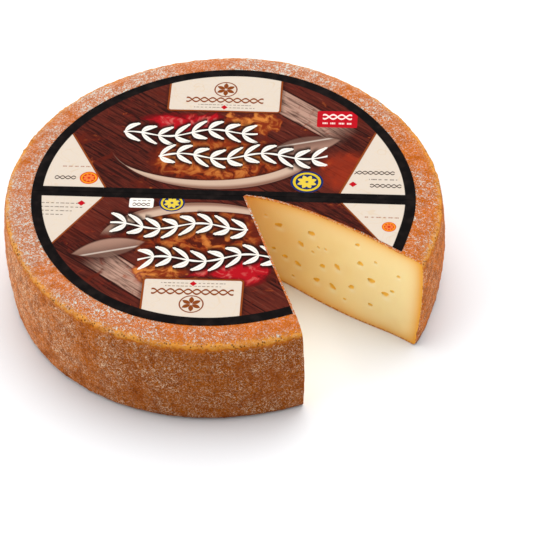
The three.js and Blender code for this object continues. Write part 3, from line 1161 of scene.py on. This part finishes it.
def print_plaque(paper, cream):
    """The cream plaque at the rim, with its border, a rosette, a braid and some small print."""
    left, right, foot = paper.half.plaque
    middle = (left + right) / 2
    tall = PLAQUE_HEIGHT / 2
    field = paper.box(middle, foot + tall, (right - left) / 2, tall, 3.0)
    paper.lay(PLAQUE_SHADE, field.step(-3.5, 1) * 0.6)
    paper.lay(paper.label.border, field.over(0, 0.2))
    paper.lay(cream, field.over(1.4, 0.2))
    across, up = paper.seen_from(middle, foot + 25)
    away = distance(across, up)
    petals = flower(away, up.angle_to(across), 6, 0.6, 6.6, 1.7)
    paper.lay(ROSETTE_INK, petals.most(0.5 - abs(away - 8)).over(0, 0.15))
    paper.lay(ROSETTE_INK, braid(paper, middle, foot + 13, 28, 2.3, 0.85))
    for level, half_width in ((7.6, 19), (4.6, 22)):
        paper.lay(LETTER_INK, small_print(paper, middle, foot + level, half_width, 0.42))
    diamond = paper.diamond(middle, foot + 5.0, 2.5)
    paper.lay(cream, diamond.over(-1.0, 0.1))
    paper.lay(paper.label.red, diamond.over(0, 0.2))


def print_tag(paper):
    """A small tag with rounded corners, a braid and a row of small print."""
    x, y, half_width, half_height, ground, marks = paper.half.tag
    paper.lay(ground, paper.box(x, y, half_width, half_height, 1.4).over(0, 0.2))
    inner_width = half_width * 0.72
    swing = half_height * 0.26
    strands = braid(paper, x, y + half_height * 0.3, inner_width, swing, swing * 0.36)
    line = small_print(paper, x, y - half_height * 0.5, inner_width, half_height * 0.1)
    paper.lay(marks, strands.most(line * 1.2))


def label_finish(label, half):
    """The printed paper of one half, slightly glossy where the ink lies thick."""
    paper = Paper("label print front" if half.turned else "label print back", label, half)
    print_planks(paper)
    print_glow(paper)
    print_ribbon(paper)
    for garland in half.garlands:
        print_garland(paper, *garland)
    cream = print_sectors(paper)
    for roundel in half.roundels:
        print_roundel(paper, *roundel)
    print_plaque(paper, cream)
    print_tag(paper)
    rim = paper.attribute("from_rim")
    black = (label.ring_width / MM - rim).most(label.bar_width / MM - paper.y).over(0, 0.2)
    paper.lay(label.ink_black, black)
    fibres = paper.noise(0.7 * MM, detail=3.0)
    soft = paper.noise(9 * MM)
    # Painted sheen in soft patches over the black ring and bar.
    paper.lay(BLACK_SHEEN, black * soft.step(0.4, 0.75) * 0.3)
    normal = paper.bump(fibres * 0.25 + soft, 0.12 * MM)
    return paper.surface(fibres * 0.14 - black * 0.06 + 0.45, normal, Specular_IOR_Level=0.02)


# The label's sheets.


def add_slab(low, high, step):
    """A thin closed slab of small quads between two corners."""
    size = high - low
    bpy.ops.mesh.primitive_grid_add(
        x_subdivisions=round(size.x / step), y_subdivisions=round(size.y / step), size=1
    )
    slab = bpy.context.object
    grid = points_of(slab.data) + (0.5, 0.5, 0)
    move_points(slab.data, grid * (size.x, size.y, 0) + np.array(low))
    with editing(slab):
        bpy.ops.mesh.extrude_region_move(TRANSFORM_OT_translate={"value": (0, 0, size.z)})
    face_outwards(slab)
    return slab


def add_sheet(node, finish, label, notch):
    """One piece of the label: a fine slab cut to the node's outline, and cockled a little."""
    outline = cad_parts[node].copy()
    outline.data = outline.data.copy()
    outline.parent = None
    bpy.context.collection.objects.link(outline)
    with editing(outline, "vertices"):
        bpy.ops.mesh.remove_doubles(threshold=1e-6)
    low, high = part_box(node)
    tall = points_of(outline.data)
    tall[:, 2] += np.where(tall[:, 2] > (low.z + high.z) / 2, PAST_SHEET, -PAST_SHEET)
    move_points(outline.data, tall)
    margin = Vector((SHEET_STEP, SHEET_STEP, 0))
    sheet = add_slab(low - margin, high + margin, SHEET_STEP)
    sheet.name = node + "_paper"
    give_finishes(sheet, (finish,))
    combine(sheet, outline, "INTERSECT")
    points = points_of(sheet.data)
    radius, azimuth = polar(points)
    add_attribute(sheet.data, "from_rim", label.radius + off_round(azimuth, notch) - radius)
    x, y = points[:, 0] / MM, points[:, 1] / MM
    ridges = np.sin(x / 17 + 0.8 * np.sin(y / 23)) * np.sin(y / 19 + 0.6 * np.sin(x / 31))
    points[:, 2] += label.cockle * (0.5 + 0.5 * ridges) * smoothstep(radius, 0, 60 * MM)
    move_points(sheet.data, points)
    make_active(sheet)
    bpy.ops.object.shade_smooth_by_angle(angle=math.radians(40))
    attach(sheet, BODY)
    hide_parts(node)


class CHEESE_OT_add_wheel(bpy.types.Operator):
    """Adds the cheese wheel with its wedge cut out"""

    bl_idname = "cheese.add_wheel"
    bl_label = "Cheese Wheel"

    def execute(self, context):
        wheel, notch = context.scene.cheese_wheel, context.scene.cheese_notch
        finishes = rind_finish(wheel), paste_finish(wheel)
        faces = cut_faces(wheel, notch)
        cheese = add_drum(wheel)
        cheese.name = "cheese_wheel_dressed"
        shape_drum(cheese, wheel, notch)
        roughen_crust(cheese, wheel, notch)
        give_finishes(cheese, finishes)
        wedge = add_wedge(wheel, notch, faces)
        give_finishes(wedge, finishes, 1)
        combine(cheese, wedge, "DIFFERENCE")
        far_eyes = [[size * MM for size in eye] for eye in FAR_EYES]
        eyes = (far_eyes, list(scattered_eyes(wheel, notch, NEAR_EYES_SEED)))
        for face, holes in zip(faces, eyes):
            hollows = join(add_eyes(face, holes, notch))
            give_finishes(hollows, finishes, 1)
            combine(cheese, hollows, "DIFFERENCE")
        mark_depths(cheese, wheel, notch, faces)
        mark_lip_highlights(cheese, faces, eyes)
        make_active(cheese)
        bpy.ops.object.shade_smooth_by_angle(angle=math.radians(50))
        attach(cheese, BODY)
        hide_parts(WHEEL_NODE)
        return {"FINISHED"}


class CHEESE_OT_add_label(bpy.types.Operator):
    """Adds the printed paper label, in the three pieces that the knife left"""

    bl_idname = "cheese.add_label"
    bl_label = "Paper Label"

    def execute(self, context):
        label, notch = context.scene.cheese_label, context.scene.cheese_notch
        add_sheet(BACK_SHEET, label_finish(label, BACK_PRINT), label, notch)
        front = label_finish(label, FRONT_PRINT)
        for node in FRONT_SHEETS:
            add_sheet(node, front, label, notch)
        return {"FINISHED"}


# The stage.


def direction(azimuth, elevation):
    """The way from the wheel to something that stands round it, azimuth 0 being at its front."""
    flat = math.cos(elevation)
    return Vector((math.sin(azimuth) * flat, -math.cos(azimuth) * flat, math.sin(elevation)))


def add_floor(stage):
    """A pale floor, large enough to fill the view."""
    finish = Finish("studio floor", stage.floor_colour)
    grain = finish.noise(0.4)
    finish.lay(stage.floor_lights, grain)
    normal = finish.bump(grain, 0.1 * MM)
    bpy.ops.mesh.primitive_plane_add(size=stage.floor_size, location=(0, 0, -0.1 * MM))
    floor = bpy.context.object
    floor.name = "studio_floor"
    floor.data.materials.append(finish.surface(0.85, normal, Specular_IOR_Level=0.1))
    floor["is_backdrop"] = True


def add_lights(stage):
    """Soft light from all round, and wide lights on the left, overhead and on the right."""
    world = bpy.data.worlds.new("studio")
    world.use_nodes = True
    background = world.node_tree.nodes["Background"]
    background.inputs["Color"].default_value = (1, 1, 1, 1)
    background.inputs["Strength"].default_value = stage.sky
    bpy.context.scene.world = world
    for name, strength, azimuth, elevation in LIGHTS:
        bpy.ops.object.light_add(type="SUN")
        light = bpy.context.object
        light.name = name
        light.data.energy = strength
        light.data.angle = stage.light_width
        towards = direction(math.radians(azimuth), math.radians(elevation))
        light.rotation_euler = towards.to_track_quat("Z", "Y").to_euler()


def add_camera(stage):
    """The camera, aimed at a point on the floor and rolled a little."""
    bpy.ops.object.camera_add()
    camera = bpy.context.object
    back = direction(stage.azimuth, stage.elevation)
    right = Vector((0, 0, 1)).cross(back).normalized()
    up = back.cross(right)
    aim = Matrix((right, up, back)).transposed()
    camera.rotation_euler = (aim @ Matrix.Rotation(stage.roll, 3, "Z")).to_euler()
    camera.location = Vector(stage.target) + back * stage.distance
    camera.data.lens = stage.lens
    camera.data.sensor_width = 36
    camera.data.clip_end = 20
    bpy.context.scene.camera = camera


class CHEESE_OT_add_stage(bpy.types.Operator):
    """Adds the floor, the lights and the camera"""

    bl_idname = "cheese.add_stage"
    bl_label = "Studio"

    def execute(self, context):
        stage = context.scene.cheese_stage
        add_floor(stage)
        add_lights(stage)
        add_camera(stage)
        context.scene.view_settings.view_transform = "Standard"
        return {"FINISHED"}


class CHEESE_PT_panel(bpy.types.Panel):
    """Lists the pieces that the add-on makes"""

    bl_label = "Cheese Wheel"
    bl_space_type = "VIEW_3D"
    bl_region_type = "UI"
    bl_category = "Cheese"

    def draw(self, context):
        for operator in OPERATORS:
            self.layout.operator(operator.bl_idname)


OPERATORS = (CHEESE_OT_add_wheel, CHEESE_OT_add_label, CHEESE_OT_add_stage)
SETTINGS = {
    "cheese_wheel": WheelSettings,
    "cheese_notch": NotchSettings,
    "cheese_label": LabelSettings,
    "cheese_stage": StageSettings,
}
CLASSES = (*SETTINGS.values(), *OPERATORS, CHEESE_PT_panel)


def register():
    for each in CLASSES:
        bpy.utils.register_class(each)
    for name, group in SETTINGS.items():
        setattr(bpy.types.Scene, name, PointerProperty(type=group))


def unregister():
    for name in SETTINGS:
        delattr(bpy.types.Scene, name)
    for each in reversed(CLASSES):
        bpy.utils.unregister_class(each)


def main():
    """Makes every piece in order."""
    register()
    bpy.ops.cheese.add_stage()
    bpy.ops.cheese.add_wheel()
    bpy.ops.cheese.add_label()
    sizes = {"cad": cad_bounds, "visual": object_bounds()}
    corners = {name: [list(corner) for corner in box] for name, box in sizes.items()}


if __name__ == "__main__":
    main()
